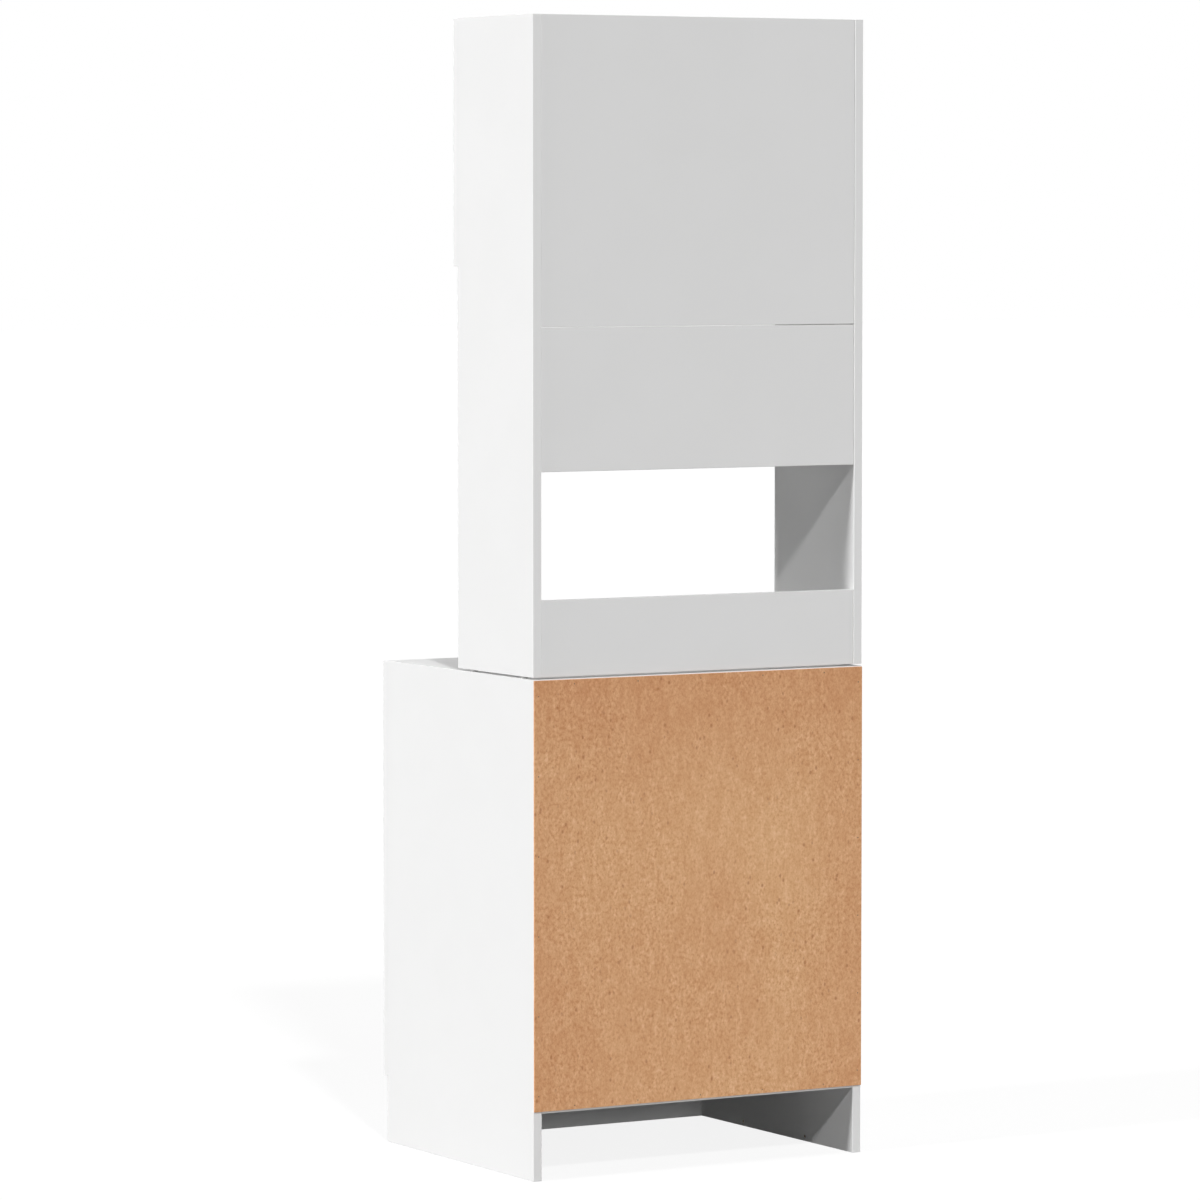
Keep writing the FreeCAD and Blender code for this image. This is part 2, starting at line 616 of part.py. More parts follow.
def handle(name, side, x, y_rear, y_face, z):
    """A round bar on two posts, held by screws from inside the door."""
    y_bar = y_face - HANDLE_PROJECTION + HANDLE_RADIUS
    low = Vector(x, y_bar, z - HANDLE_LENGTH / 2)
    bar = rod(HANDLE_RADIUS, low, low + Vector(0, 0, HANDLE_LENGTH))
    rims = [edge for edge in bar.Edges if edge.Closed]
    pieces.add(name + "_handle_bar", mirrored(bar.makeChamfer(HANDLE_END_CHAMFER, rims), side))
    saddle = rod(HANDLE_RADIUS + FIT, low, low + Vector(0, 0, HANDLE_LENGTH))
    for turn in SIDES:
        foot = Vector(x, y_face, z + turn * HANDLE_POST_SPACING / 2)
        entry = foot - Vector(0, HANDLE_SCREW_ENTRY, 0)
        post = rod(HANDLE_POST_RADIUS, foot, Vector(x, y_bar, foot.z))
        thread_end = entry - Vector(0, HOLE_RUNOUT, 0)
        thread = rod(HANDLE_SCREW_RADIUS + FIT, thread_end, foot + Vector(0, CUT_OVERRUN, 0))
        pieces.add(name + "_handle_posts", mirrored(post.cut([saddle, thread]), side))
        seat = Vector(x, y_rear, foot.z)
        screw = joined(
            rod(HANDLE_SCREW_HEAD_RADIUS, seat, seat + Vector(0, HANDLE_SCREW_HEAD, 0)),
            rod(HANDLE_SCREW_RADIUS, entry, seat),
        )
        pieces.add(name + "_handle_screws", mirrored(screw, side))
        hole = rod(HANDLE_HOLE_RADIUS, foot - Vector(0, CUT_OVERRUN, 0), seat + Vector(0, CUT_OVERRUN, 0))
        pieces.cut(name, mirrored(hole, side))


def all_doors():
    for side in SIDES:
        door(
            "base",
            side,
            Y_BASE,
            PLINTH_HEIGHT + DOOR_END_REVEAL,
            BASE_HEIGHT - DOOR_END_REVEAL,
            HINGE_INSET_BASE,
            True,
        )
        door(
            "upper",
            side,
            Y_UPPER,
            Z_COMPARTMENT + DOOR_END_REVEAL,
            Z_TOP - DOOR_END_REVEAL,
            HINGE_INSET_UPPER,
            False,
        )


base_unit_boards()
base_back()
base_shelf()
upper_unit_boards()
stacking_pins()
all_doors()
pieces.write("parts")
print("nodes", len(pieces.solids))
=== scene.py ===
import math

import bmesh
import bpy
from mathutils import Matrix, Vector


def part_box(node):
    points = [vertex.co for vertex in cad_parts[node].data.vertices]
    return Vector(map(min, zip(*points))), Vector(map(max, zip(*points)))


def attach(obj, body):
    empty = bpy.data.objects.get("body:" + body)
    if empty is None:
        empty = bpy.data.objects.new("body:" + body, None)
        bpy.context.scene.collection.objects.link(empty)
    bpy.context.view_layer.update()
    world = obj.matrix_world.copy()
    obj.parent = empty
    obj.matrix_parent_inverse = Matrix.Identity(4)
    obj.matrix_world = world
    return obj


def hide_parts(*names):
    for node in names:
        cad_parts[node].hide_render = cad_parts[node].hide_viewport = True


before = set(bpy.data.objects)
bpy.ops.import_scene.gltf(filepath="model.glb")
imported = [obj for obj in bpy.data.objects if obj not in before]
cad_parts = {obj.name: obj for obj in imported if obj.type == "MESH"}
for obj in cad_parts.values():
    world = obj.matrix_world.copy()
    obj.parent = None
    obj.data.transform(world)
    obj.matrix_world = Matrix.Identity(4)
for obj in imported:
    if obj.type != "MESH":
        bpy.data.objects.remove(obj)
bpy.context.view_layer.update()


# Base unit boards.
# Chipboard 15 mm thick, or 12 mm in the plinth, faced with hard white paper and edged with white strip.
# Two sides stand on the floor, and cams and dowels hold the top, the bottom and the plinth between them.
class Value:
    """A value that a node gives. Arithmetic on values adds Math nodes."""

    def __init__(self, nodes, socket):
        self.nodes = nodes
        self.socket = socket

    def maths(self, operation, *values):
        return self.nodes.node("ShaderNodeMath", dict(enumerate(values)), operation=operation)

    def __add__(self, other):
        return self.maths("ADD", self, other)

    def __radd__(self, other):
        return self.maths("ADD", other, self)

    def __sub__(self, other):
        return self.maths("SUBTRACT", self, other)

    def __rsub__(self, other):
        return self.maths("SUBTRACT", other, self)

    def __mul__(self, other):
        return self.maths("MULTIPLY", self, other)

    def __rmul__(self, other):
        return self.maths("MULTIPLY", other, self)

    def __abs__(self):
        return self.maths("ABSOLUTE", self)

    def least(self, other):
        return self.maths("MINIMUM", self, other)

    def most(self, other):
        return self.maths("MAXIMUM", self, other)

    def step(self, low, high):
        """0 below low and 1 above high, with a smooth rise between."""
        inputs = {"Value": self, "From Min": low, "From Max": high}
        return self.nodes.node("ShaderNodeMapRange", inputs, interpolation_type="SMOOTHSTEP")


class Nodes:
    """A node tree, whose nodes all come from one method."""

    def __init__(self, tree):
        self.tree = tree

    def node(self, kind, inputs, output=0, **settings):
        made = self.tree.nodes.new(kind)
        for name, value in settings.items():
            setattr(made, name, value)
        self.feed(made, inputs)
        return Value(self, made.outputs[output])

    def feed(self, made, inputs):
        """Links values to a node's sockets or sets them to numbers. The items of a list share a socket."""
        for name, given in inputs.items():
            for item in given if isinstance(given, list) else [given]:
                if isinstance(item, Value):
                    self.tree.links.new(item.socket, made.inputs[name])
                else:
                    made.inputs[name].default_value = item


class Finish(Nodes):
    """A material with a Principled shader. The numbers are the sockets of a Mix node for colours."""

    MIX_SHARE = 0
    MIX_FIRST = 6
    MIX_SECOND = 7
    MIX_COLOUR = 2

    def __init__(self, name):
        self.material = bpy.data.materials.new(name)
        self.material.use_nodes = True
        super().__init__(self.material.node_tree)
        self.shader = self.tree.nodes["Principled BSDF"]

    def place(self, scale=(1.0, 1.0, 1.0)):
        """Object coordinates in metres, scaled where a pattern runs one way."""
        spot = self.node("ShaderNodeTexCoord", {}, "Object")
        return self.node("ShaderNodeMapping", {"Vector": spot, "Scale": scale})

    def along(self, axis):
        return self.node("ShaderNodeSeparateXYZ", {"Vector": self.place()}, axis)

    def noise(self, spot, per_metre, detail=3.0, roughness=0.5):
        inputs = {"Vector": spot, "Scale": per_metre, "Detail": detail, "Roughness": roughness}
        return self.node("ShaderNodeTexNoise", inputs)

    def cells(self, spot, per_metre, output="Distance"):
        return self.node("ShaderNodeTexVoronoi", {"Vector": spot, "Scale": per_metre}, output)

    def mixed(self, share, first, second, blend_type="MIX"):
        """A colour between two colours, or a colour darkened by a tint."""
        inputs = {self.MIX_SHARE: share, self.MIX_FIRST: first, self.MIX_SECOND: second}
        return self.node("ShaderNodeMix", inputs, self.MIX_COLOUR, data_type="RGBA", blend_type=blend_type)

    def relief(self, height, depth):
        inputs = {"Height": height, "Distance": depth, "Strength": 1.0}
        return self.node("ShaderNodeBump", inputs, "Normal")

    def surface(self, **sockets):
        """Feeds the Principled shader, with spaces in socket names written as underscores."""
        self.feed(self.shader, {name.replace("_", " "): value for name, value in sockets.items()})
        return self.material


def coat(node, material):
    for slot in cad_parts[node].material_slots:
        slot.material = material


FACING_WHITE = (0.790, 0.790, 0.788, 1.0)
FACING_SHADE = (0.778, 0.778, 0.775, 1.0)
STRIP_WHITE = (0.793, 0.793, 0.790, 1.0)
GLUE_LINE = (0.600, 0.590, 0.570, 1.0)
CHIP_PALE = (0.620, 0.450, 0.280, 1.0)
CHIP_DARK = (0.330, 0.210, 0.115, 1.0)
STRIP_THICKNESS = 0.0008
GLUE_WIDTH = 0.00012
FACING_THICKNESS = 0.00025
SOFT_BAND = (0.35, 0.65)
CLOUD_SHARE = 0.5
GLUE_SHARE = 0.35
FACING_ROUGHNESS = 0.56
PEARL_DULLING = 0.10
CLOUD_DULLING = 0.04
STRIP_SHEEN = 0.06
CHIP_ROUGHNESS = 0.85
FACING_RELIEF = 0.00004
PEARL_HEIGHT = 0.25
PEEL_HEIGHT = 0.75
GLUE_DIP = 0.8
CHIP_HEIGHT = 4.0


def faced_board(node):
    """White facing and edge strip outside, and bare chipboard wherever a hole goes into the board."""
    finish = Finish(node + "_facing")
    low, high = [Vector(corner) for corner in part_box(node)]
    middle, half = (low + high) / 2, (high - low) / 2
    depths = [half[axis] - abs(finish.along(name) - middle[axis]) for axis, name in enumerate("XYZ")]
    thin = min(range(3), key=lambda axis: half[axis])
    under_face = depths.pop(thin)
    to_edge = depths[0].least(depths[1])
    inside = to_edge.least(under_face).step(FACING_THICKNESS, 2 * FACING_THICKNESS)
    strip = 1.0 - to_edge.step(STRIP_THICKNESS - GLUE_WIDTH, STRIP_THICKNESS + GLUE_WIDTH)
    glue = 1.0 - abs(to_edge - STRIP_THICKNESS).step(0.0, GLUE_WIDTH)

    spot = finish.place()
    cloud = finish.noise(spot, per_metre=9.0, detail=2.0).step(*SOFT_BAND)
    pearl = finish.noise(spot, per_metre=1400.0, detail=2.0, roughness=0.6)
    peel = finish.noise(spot, per_metre=160.0, detail=1.0)
    chips = finish.cells(spot, per_metre=420.0, output="Color")
    chip_tone = finish.node("ShaderNodeSeparateColor", {"Color": chips}, "Red")
    facing = finish.mixed(cloud * CLOUD_SHARE, FACING_WHITE, FACING_SHADE)
    facing = finish.mixed(strip, facing, STRIP_WHITE)
    facing = finish.mixed(glue * GLUE_SHARE, facing, GLUE_LINE)
    chipboard = finish.mixed(chip_tone, CHIP_PALE, CHIP_DARK)
    roughness = FACING_ROUGHNESS + PEARL_DULLING * pearl + CLOUD_DULLING * cloud - STRIP_SHEEN * strip
    height = pearl * PEARL_HEIGHT + peel * PEEL_HEIGHT - glue * GLUE_DIP + inside * chip_tone * CHIP_HEIGHT
    return finish.surface(
        Base_Color=finish.mixed(inside, facing, chipboard),
        Roughness=roughness.most(inside * CHIP_ROUGHNESS),
        Normal=finish.relief(height, FACING_RELIEF),
        IOR=1.48,
    )


BASE_BOARDS = (
    "base_side_left",
    "base_side_right",
    "base_bottom_panel",
    "plinth",
    "base_top_panel",
)
for name in BASE_BOARDS:
    coat(name, faced_board(name))


# Cams, bolts and dowels.
# The board ends meet the sides on beech dowels, and cast zinc cams in the boards pull on plated bolts
# that are screwed into the sides.
ZINC_GREY = (0.470, 0.475, 0.480, 1.0)
ZINC_DULL = (0.300, 0.305, 0.310, 1.0)
PLATED_STEEL = (0.640, 0.640, 0.630, 1.0)
PLATED_DULL = (0.500, 0.500, 0.490, 1.0)
BEECH_PALE = (0.660, 0.480, 0.300, 1.0)
BEECH_BROWN = (0.500, 0.330, 0.180, 1.0)
PATCH_BAND = (0.40, 0.68)
PATCH_SHARE = 0.6
PATCH_DULLING = 0.12
GRAIN_DULLING = 0.10
BEECH_GRAIN = (120.0, 2600.0, 2600.0)
BEECH_ROUGHNESS = 0.60
BEECH_DULLING = 0.20
BEECH_RELIEF = 0.0001


def metal(name, bright, dull, grain, roughness, relief):
    """Bare or plated metal with dull patches, and so many lines of grain per metre on each axis."""
    finish = Finish(name)
    patch = finish.noise(finish.place(), per_metre=130.0, detail=4.0).step(*PATCH_BAND)
    fine = finish.noise(finish.place(grain), 1.0, detail=2.0)
    return finish.surface(
        Base_Color=finish.mixed(patch * PATCH_SHARE, bright, dull),
        Roughness=roughness + PATCH_DULLING * patch + GRAIN_DULLING * fine,
        Normal=finish.relief(fine, relief),
        Metallic=1.0,
    )


def beech(name):
    finish = Finish(name)
    grain = finish.noise(finish.place(BEECH_GRAIN), 1.0, detail=4.0, roughness=0.6)
    return finish.surface(
        Base_Color=finish.mixed(grain.step(*SOFT_BAND), BEECH_PALE, BEECH_BROWN),
        Roughness=BEECH_ROUGHNESS + BEECH_DULLING * grain,
        Normal=finish.relief(grain, BEECH_RELIEF),
    )


plated = metal(
    "plated_steel", PLATED_STEEL, PLATED_DULL, grain=(900.0, 900.0, 900.0), roughness=0.24, relief=0.00002
)
cast_zinc = metal(
    "cast_zinc", ZINC_GREY, ZINC_DULL, grain=(1500.0, 1500.0, 1500.0), roughness=0.42, relief=0.00006
)
coat("cam_locks", cast_zinc)
coat("cam_bolts", plated)
for name in ("dowels", "plinth_dowels"):
    coat(name, beech(name))


# Hardboard back of the base unit.
# A sheet of pressed wood fibre 3 mm thick, left raw, laid over the rear edges and pinned all round.
# Its face is an even tan with a fine fibre speckle, darker flecks of bark and soft redder clouds.
FIBRE_TAN = (0.770, 0.456, 0.238, 1.0)
FIBRE_PALE = (0.878, 0.577, 0.340, 1.0)
FIBRE_BROWN = (0.632, 0.316, 0.138, 1.0)
CLOUD_TINT = (0.870, 0.756, 0.714, 1.0)
BARK = (0.400, 0.140, 0.050, 1.0)
BROWN_TO_TAN = (0.33, 0.51)
TAN_TO_PALE = (0.51, 0.70)
ROUGH_ZONE = (0.35, 0.62)
CALM_SHARE = 0.35
STREAK_SHARE = 0.40
FELT_PALE = (0.52, 0.68)
FELT_BROWN = (0.32, 0.48)
FELT_SHARE = 0.45
REDDER_CLOUD = (0.40, 0.68)
REDDER_SHARE = 0.42
SIDE_RIM = (0.12, 0.31)
SIDE_RIM_SHARE = 0.50
TOP_RIM = (0.50, 0.80)
TOP_RIM_SHARE = 0.85
SLIVER_RIM = (0.10, 0.26)
SLIVER_PATCH = (0.56, 0.70)
BARK_RIM = (0.10, 0.27)
BARK_PATCH = (0.50, 0.62)
FLECK_SHARE = 0.6
FIBRE_ROUGHNESS = 0.68
FELT_DULLING = 0.20
SPECKLE_HEIGHT = 0.8
FELT_HEIGHT = 0.4
BARK_DIP = 0.6
HARDBOARD_RELIEF = 0.00006


def raw_hardboard():
    finish = Finish("raw_hardboard")

    def upright(squeeze):
        """Object coordinates squeezed on Z, so that a pattern is longer upwards."""
        return finish.place((1.0, 1.0, squeeze))

    spot = upright(0.75)
    rough_zone = finish.noise(spot, per_metre=9.0, detail=2.0).step(*ROUGH_ZONE)
    speckle = finish.noise(spot, per_metre=225.0, detail=2.0, roughness=0.6)
    colour = finish.mixed(speckle.step(*BROWN_TO_TAN), FIBRE_BROWN, FIBRE_TAN)
    colour = finish.mixed(speckle.step(*TAN_TO_PALE), colour, FIBRE_PALE)
    colour = finish.mixed(CALM_SHARE - CALM_SHARE * rough_zone, colour, FIBRE_TAN)
    streak = finish.noise(upright(0.4), per_metre=75.0, detail=2.0).step(*SOFT_BAND)
    colour = finish.mixed(streak * STREAK_SHARE, colour, FIBRE_BROWN)
    felt = finish.noise(upright(0.3), per_metre=1100.0, detail=2.0, roughness=0.6)
    colour = finish.mixed(felt.step(*FELT_PALE) * FELT_SHARE, colour, FIBRE_PALE)
    colour = finish.mixed((1.0 - felt.step(*FELT_BROWN)) * FELT_SHARE, colour, FIBRE_BROWN)

    cloud = finish.noise(upright(0.5), per_metre=3.3, detail=2.0).step(*REDDER_CLOUD)
    side_rim = abs(finish.along("X")).step(*SIDE_RIM) * SIDE_RIM_SHARE
    top_rim = finish.along("Z").step(*TOP_RIM) * TOP_RIM_SHARE
    redder = cloud * REDDER_SHARE + side_rim.most(top_rim)
    colour = finish.mixed(redder, colour, CLOUD_TINT, "MULTIPLY")

    sliver = 1.0 - finish.cells(upright(0.35), per_metre=230.0).step(*SLIVER_RIM)
    sliver_patch = finish.noise(spot, per_metre=60.0, detail=2.0).step(*SLIVER_PATCH)
    colour = finish.mixed(sliver * sliver_patch * FLECK_SHARE, colour, FIBRE_PALE)
    bark_fleck = 1.0 - finish.cells(upright(0.7), per_metre=90.0).step(*BARK_RIM)
    bark_fleck = bark_fleck * finish.noise(spot, per_metre=48.0, detail=3.0).step(*BARK_PATCH)
    height = SPECKLE_HEIGHT * speckle + FELT_HEIGHT * felt - BARK_DIP * bark_fleck
    return finish.surface(
        Base_Color=finish.mixed(bark_fleck * FLECK_SHARE, colour, BARK),
        Roughness=FIBRE_ROUGHNESS + FELT_DULLING * felt,
        Normal=finish.relief(height, HARDBOARD_RELIEF),
        IOR=1.40,
    )


coat("base_back_panel", raw_hardboard())


# Nails of the hardboard back.
# Thin steel pins with small heads, driven just below the face, browned by the fibres around them.
NAIL_BROWN = (0.330, 0.200, 0.120, 1.0)
NAIL_DARK = (0.210, 0.130, 0.080, 1.0)
nail_steel = metal(
    "nail_steel", NAIL_BROWN, NAIL_DARK, grain=(2000.0, 2000.0, 2000.0), roughness=0.45, relief=0.00002
)
coat("back_panel_nails", nail_steel)


# Loose shelf of the base unit, and its pins.
# A faced board that lies on four plated pins, which are pushed into holes in the sides.
coat("base_shelf", faced_board("base_shelf"))
coat("shelf_pins", plated)


# Upper unit boards.
# The same faced board: two sides, a shelf over the niche, the floor and the top of the door compartment,
# and a rail and two back boards let in between the sides, with a window left open over the rail.
UPPER_BOARDS = (
    "upper_side_left",
    "upper_side_right",
    "niche_shelf",
    "compartment_floor",
    "upper_top_panel",
    "back_rail",
    "middle_back_panel",
    "upper_back_panel",
)
for name in UPPER_BOARDS:
    coat(name, faced_board(name))


# Stacking pins.
# Moulded grey plastic pins between the two units, whose collars hold the upper sides clear of the base.
MOULDED_GREY = (0.420, 0.420, 0.410, 1.0)
MOULDED_DARK = (0.360, 0.360, 0.350, 1.0)
MOULDED_DULLING = 0.12
MOULDED_RELIEF = 0.00003


def moulded(name, light, dark, roughness):
    finish = Finish(name)
    spot = finish.place()
    fine = finish.noise(spot, per_metre=800.0, detail=2.0)
    flow = finish.noise(spot, per_metre=60.0, detail=2.0)
    return finish.surface(
        Base_Color=finish.mixed(flow.step(*SOFT_BAND), light, dark),
        Roughness=roughness + MOULDED_DULLING * fine,
        Normal=finish.relief(fine, MOULDED_RELIEF),
    )


coat("stacking_pins", moulded("moulded_grey", MOULDED_GREY, MOULDED_DARK, roughness=0.45))


# Doors and their bumpers.
# Plain faced boards edged all round, that lie over the front edges of the sides.
# Soft clear dots on their backs stop them from knocking.
DOORS = [f"{unit}_{side}_door" for unit in ("base", "upper") for side in ("left", "right")]
BUMPER_CLEAR = (0.700, 0.700, 0.680, 1.0)
BUMPER_MILKY = (0.560, 0.560, 0.540, 1.0)
soft_dot = moulded("soft_dot", BUMPER_CLEAR, BUMPER_MILKY, roughness=0.30)
for name in DOORS:
    coat(name, faced_board(name))
    coat(name + "_bumpers", soft_dot)


# Hinges.
# Pressed steel cups sunk in the doors, cranked arms on their pins, and plates on the sides, all plated.
for name in ("hinge_arms", "hinge_plates"):
    coat(name, plated)
for name in DOORS:
    coat(name + "_hinge_cups", plated)
    coat(name + "_hinge_pins", plated)


# Screws of the hinges and handles.
# Plated steel with flat round heads and a cross recess, each turned as the driver left it.
RECESS_WIDTH_SHARE = 0.24
RECESS_SPAN_SHARE = 1.10
RECESS_DEPTH_SHARE = 0.70
HEAD_TOP_SHARE = 0.78
HEAD_SIDES = 28
SHANK_SIDES = 14
SCREW_SEED = 7
RANDOM_FLOAT_OUTPUT = 1
SAME_POINT = 1e-6


def solid_boxes(node):
    """The lowest and highest corners of each solid in a node, found on a merged copy of its mesh."""
    work = bmesh.new()
    work.from_mesh(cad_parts[node].data)
    bmesh.ops.remove_doubles(work, verts=work.verts, dist=SAME_POINT)
    boxes, seen = [], set()
    for start in work.verts:
        if start.index in seen:
            continue
        corners, waiting = [], [start]
        seen.add(start.index)
        while waiting:
            vert = waiting.pop()
            corners.append(vert.co.copy())
            for edge in vert.link_edges:
                other = edge.other_vert(vert)
                if other.index not in seen:
                    seen.add(other.index)
                    waiting.append(other)
        boxes.append([Vector(map(pick, zip(*corners))) for pick in (min, max)])
    work.free()
    return boxes


class Recipe(Nodes):
    """A Geometry Nodes tree with named inputs for its sizes and its metal."""

    def __init__(self, name, sizes):
        super().__init__(bpy.data.node_groups.new(name, "GeometryNodeTree"))
        sockets = self.tree.interface
        sockets.new_socket("Geometry", in_out="OUTPUT", socket_type="NodeSocketGeometry")
        sockets.new_socket("Geometry", in_out="INPUT", socket_type="NodeSocketGeometry")
        for size in sizes:
            sockets.new_socket(size, in_out="INPUT", socket_type="NodeSocketFloat")
        sockets.new_socket("Metal", in_out="INPUT", socket_type="NodeSocketMaterial")
        self.inputs = self.tree.nodes.new("NodeGroupInput").outputs

    def given(self, name):
        return Value(self, self.inputs[name])

    def vector(self, x=0.0, y=0.0, z=0.0):
        return self.node("ShaderNodeCombineXYZ", {"X": x, "Y": y, "Z": z})

    def moved(self, shape, offset):
        return self.node("GeometryNodeTransform", {"Geometry": shape, "Translation": offset})


def screw_recipe():
    """Screws on the points of a mesh, with their heads turned to each point's way."""
    recipe = Recipe("recessed_screws", ("Head Radius", "Head Height", "Shank Radius", "Shank Length"))
    radius, height = recipe.given("Head Radius"), recipe.given("Head Height")
    length = recipe.given("Shank Length")
    head_sizes = {
        "Vertices": HEAD_SIDES,
        "Radius Bottom": radius,
        "Radius Top": radius * HEAD_TOP_SHARE,
        "Depth": height,
    }
    head = recipe.node("GeometryNodeMeshCone", head_sizes)
    span = radius * RECESS_SPAN_SHARE
    width = radius * RECESS_WIDTH_SHARE
    depth = height * (2 * RECESS_DEPTH_SHARE)
    bars = []
    for size in ((span, width), (width, span)):
        bar = recipe.node("GeometryNodeMeshCube", {"Size": recipe.vector(*size, depth)})
        bars.append(recipe.moved(bar, recipe.vector(z=height)))
    head_and_bars = {"Mesh 1": head, "Mesh 2": bars}
    head = recipe.node("GeometryNodeMeshBoolean", head_and_bars, operation="DIFFERENCE")
    shank_sizes = {"Vertices": SHANK_SIDES, "Radius": recipe.given("Shank Radius"), "Depth": length}
    shank = recipe.node("GeometryNodeMeshCylinder", shank_sizes)
    shank = recipe.moved(shank, recipe.vector(z=length * -0.5))
    screw = recipe.node("GeometryNodeJoinGeometry", {"Geometry": [head, shank]})

    way = recipe.node("GeometryNodeInputNamedAttribute", {"Name": "way"}, data_type="FLOAT_VECTOR")
    turn = recipe.node("FunctionNodeAlignRotationToVector", {"Vector": way}, axis="Z")
    on_points = {"Points": recipe.given("Geometry"), "Instance": screw, "Rotation": turn}
    placed = recipe.node("GeometryNodeInstanceOnPoints", on_points)
    share = recipe.node("FunctionNodeRandomValue", {"Seed": SCREW_SEED}, RANDOM_FLOAT_OUTPUT)
    half_turn = {"Axis": (0.0, 0.0, 1.0), "Angle": share * math.pi}
    roll = recipe.node("FunctionNodeAxisAngleToRotation", half_turn)
    placed = recipe.node("GeometryNodeRotateInstances", {"Instances": placed, "Rotation": roll})
    whole = recipe.node("GeometryNodeRealizeInstances", {"Geometry": placed})
    plated_whole = {"Geometry": whole, "Material": recipe.given("Metal")}
    whole = recipe.node("GeometryNodeSetMaterial", plated_whole)
    recipe.feed(recipe.tree.nodes.new("NodeGroupOutput"), {"Geometry": whole})
    return recipe.tree


def driven_screws(node, body, way_at, sizes):
    """One mesh of the screws of a node, each on its own seat with its head turned to way_at(middle)."""
    points = bpy.data.meshes.new(node + "_seats")
    seats, ways, lengths = [], [], []
    for low, high in solid_boxes(node):
        middle = (low + high) / 2
        way = Vector(way_at(middle))
        reach = abs((high - low).dot(way)) / 2
        seats.append(middle + way * (reach - sizes["Head Height"]))
        ways.append(way)
        lengths.append(2 * reach - sizes["Head Height"])
    points.from_pydata(seats, [], [])
    facing = points.attributes.new("way", "FLOAT_VECTOR", "POINT")
    facing.data.foreach_set("vector", [part for way in ways for part in way])
    seat_object = bpy.data.objects.new(node + "_seats", points)
    bpy.context.scene.collection.objects.link(seat_object)
    modifier = seat_object.modifiers.new("screws", "NODES")
    modifier.node_group = screw_tree
    values = dict(sizes, **{"Shank Length": min(lengths), "Metal": plated})
    for item in screw_tree.interface.items_tree:
        if item.in_out == "INPUT" and item.name in values:
            modifier[item.identifier] = values[item.name]
    depsgraph = bpy.context.evaluated_depsgraph_get()
    mesh = bpy.data.meshes.new_from_object(seat_object.evaluated_get(depsgraph))
    seat_object.modifiers.remove(modifier)
    bpy.data.objects.remove(seat_object)
    mesh.name = node + "_cut"
    piece = bpy.data.objects.new(node + "_cut", mesh)
    bpy.context.scene.collection.objects.link(piece)
    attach(piece, body)
    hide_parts(node)


def into_side(middle):
    return (-math.copysign(1.0, middle.x), 0.0, 0.0)


def into_door(middle):
    return (0.0, 1.0, 0.0)


WOOD_SCREW = {"Head Radius": 0.0035, "Head Height": 0.0012, "Shank Radius": 0.0015}
ARM_SCREW = {"Head Radius": 0.0035, "Head Height": 0.0020, "Shank Radius": 0.0025}
HANDLE_SCREW = {"Head Radius": 0.0040, "Head Height": 0.0024, "Shank Radius": 0.0020}
screw_tree = screw_recipe()
driven_screws("hinge_plate_screws", "carcass", into_side, WOOD_SCREW)
driven_screws("hinge_arm_screws", "carcass", into_side, ARM_SCREW)
for name in DOORS:
    unit, side, _ = name.split("_")
    driven_screws(name + "_cup_screws", f"{unit}_door_{side}", into_door, WOOD_SCREW)
    driven_screws(name + "_handle_screws", f"{unit}_door_{side}", into_door, HANDLE_SCREW)


# Handles.
# Round bars of brushed steel on two turned posts, held by screws that go through the door from behind.
BRUSHED_BRIGHT = (0.590, 0.580, 0.565, 1.0)
BRUSHED_DULL = (0.500, 0.490, 0.475, 1.0)
BRUSHED_UPWARDS = (5200.0, 5200.0, 60.0)
TURNED_ON_Y = (60.0, 5200.0, 60.0)
HANDLE_FINISH = {"roughness": 0.26, "relief": 0.00003}
brushed = metal("brushed_steel", BRUSHED_BRIGHT, BRUSHED_DULL, BRUSHED_UPWARDS, **HANDLE_FINISH)
turned = metal("turned_steel", BRUSHED_BRIGHT, BRUSHED_DULL, TURNED_ON_Y, **HANDLE_FINISH)
for name in DOORS:
    coat(name + "_handle_bar", brushed)
    coat(name + "_handle_posts", turned)


# Floor.
# A plain pale studio floor, that shows white to the camera and keeps a faint shadow of the cabinet.
# Light that falls on it bounces as from a mid grey.
FLOOR_REACH = 60.0
FLOOR_CORNERS = ((-1, -1), (1, -1), (1, 1), (-1, 1))
FLOOR_GREY = (0.260, 0.260, 0.260, 1.0)
FLOOR_PALE = (0.860, 0.860, 0.860, 1.0)
FLOOR_ROUGHNESS = 0.90
DUST_DULLING = 0.05
PURE_WHITE = (1.0, 1.0, 1.0, 1.0)
SHADOW_SHARE = 0.20
GLOW_LEVEL = 1.08
floor_mesh = bpy.data.meshes.new("floor")
corners = [(x * FLOOR_REACH, y * FLOOR_REACH, 0.0) for x, y in FLOOR_CORNERS]
floor_mesh.from_pydata(corners, [], [(0, 1, 2, 3)])
floor = bpy.data.objects.new("floor", floor_mesh)
bpy.context.scene.collection.objects.link(floor)


def seen_straight(nodes):
    """1 where the camera, a reflection or a clear piece looks at the backdrop, and 0 for other light."""
    kinds = ("Camera", "Glossy", "Transmission")
    camera_ray, glossy_ray, clear_ray = [
        nodes.node("ShaderNodeLightPath", {}, f"Is {kind} Ray") for kind in kinds
    ]
    return camera_ray.most(glossy_ray).most(clear_ray)


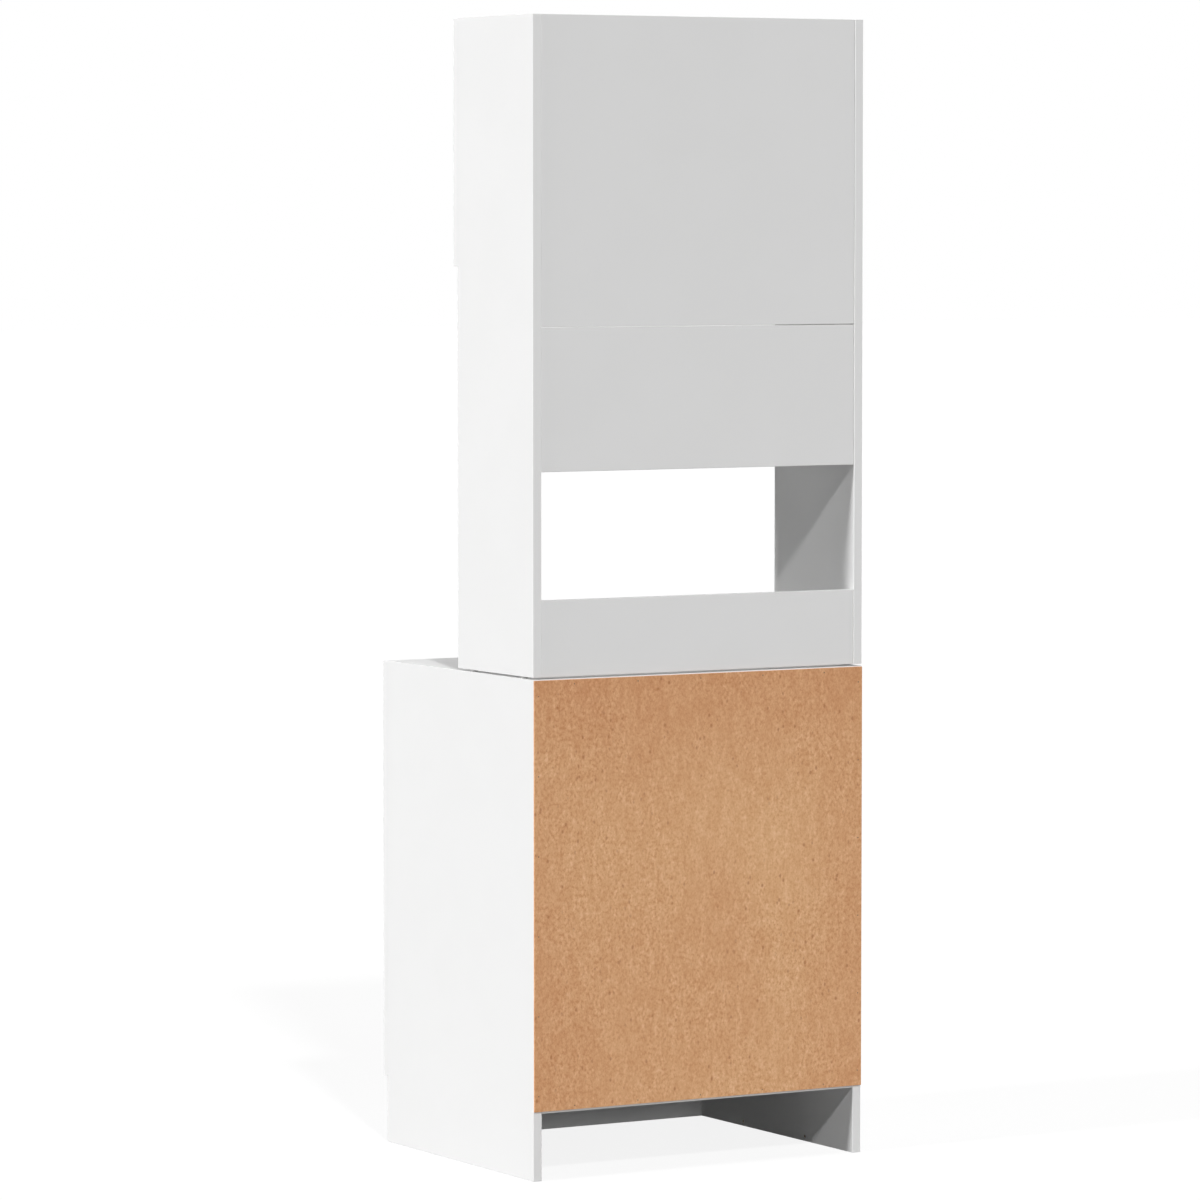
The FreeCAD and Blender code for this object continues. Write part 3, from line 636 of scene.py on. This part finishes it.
floor_finish = Finish("floor")
dust = floor_finish.noise(floor_finish.place(), per_metre=3.0)
dusty = FLOOR_ROUGHNESS + DUST_DULLING * dust
floor_finish.surface(Base_Color=FLOOR_GREY, Roughness=dusty, Specular_IOR_Level=0.0)
pale = floor_finish.node("ShaderNodeBsdfDiffuse", {"Color": FLOOR_PALE})
glow = floor_finish.node("ShaderNodeEmission", {"Color": PURE_WHITE, "Strength": GLOW_LEVEL})
shown = floor_finish.node("ShaderNodeMixShader", {0: SHADOW_SHARE, 1: glow, 2: pale})
bounce = Value(floor_finish, floor_finish.shader.outputs[0])
whole = floor_finish.node("ShaderNodeMixShader", {0: seen_straight(floor_finish), 1: bounce, 2: shown})
floor_finish.feed(floor_finish.tree.nodes["Material Output"], {"Surface": whole})
floor_mesh.materials.append(floor_finish.material)


# Light.
# A dim even room, one lamp high behind the cabinet and one beside it, which give the shadows, a lower
# one behind that reaches under the cabinet, and soft ones in front, on the far side and overhead.
ROOM_LEVEL = 0.04
LAMPS = {
    "lamp_high_behind": {"toward": (0.32, 1.00, 0.85), "strength": 1.62, "spread": 4.0},
    "lamp_low_behind": {"toward": (0.00, 1.00, 0.22), "strength": 0.68, "spread": 12.0},
    "lamp_beside": {"toward": (1.00, 0.02, 0.28), "strength": 2.67, "spread": 5.0},
    "lamp_in_front": {"toward": (0.00, -1.00, 0.05), "strength": 1.60, "spread": 16.0},
    "lamp_far_side": {"toward": (-1.00, 0.00, 0.05), "strength": 1.60, "spread": 20.0},
    "lamp_overhead": {"toward": (0.00, 0.00, 1.00), "strength": 0.60, "spread": 30.0},
}
scene = bpy.context.scene
world = bpy.data.worlds.new("room")
scene.world = world
world.use_nodes = True
room = Nodes(world.node_tree)
lit = room.node("ShaderNodeBackground", {"Color": PURE_WHITE, "Strength": ROOM_LEVEL})
white = room.node("ShaderNodeBackground", {"Color": PURE_WHITE, "Strength": 1.0})
backdrop = room.node("ShaderNodeMixShader", {0: seen_straight(room), 1: lit, 2: white})
room.feed(room.tree.nodes["World Output"], {"Surface": backdrop})


def lamp(name, toward, strength, spread):
    """A distant lamp in the direction given, whose spread in degrees softens its shadows."""
    light = bpy.data.lights.new(name, "SUN")
    light.energy = strength
    light.angle = math.radians(spread)
    thing = bpy.data.objects.new(name, light)
    thing.rotation_euler = Vector(toward).to_track_quat("Z", "Y").to_euler()
    scene.collection.objects.link(thing)


for name, values in LAMPS.items():
    lamp(name, **values)


# Camera.
# Level with the upper unit and well back, behind the cabinet and to its right, tipped down a little.
# Angles are in degrees, and the lens and the sensor are in millimetres.
CAMERA_PLACE = (4.9563, 8.4550, 1.5031)
CAMERA_TIP = 3.6493
CAMERA_HEADING = 149.7692
CAMERA_LENS = 184.28
CAMERA_SENSOR = 36.0
camera = bpy.data.objects.new("camera", bpy.data.cameras.new("camera"))
camera.data.sensor_width = CAMERA_SENSOR
camera.data.lens = CAMERA_LENS
camera.location = CAMERA_PLACE
camera.rotation_euler = [math.radians(angle) for angle in (90.0 - CAMERA_TIP, 0.0, CAMERA_HEADING)]
scene.collection.objects.link(camera)
scene.camera = camera
scene.view_settings.view_transform = "Standard"
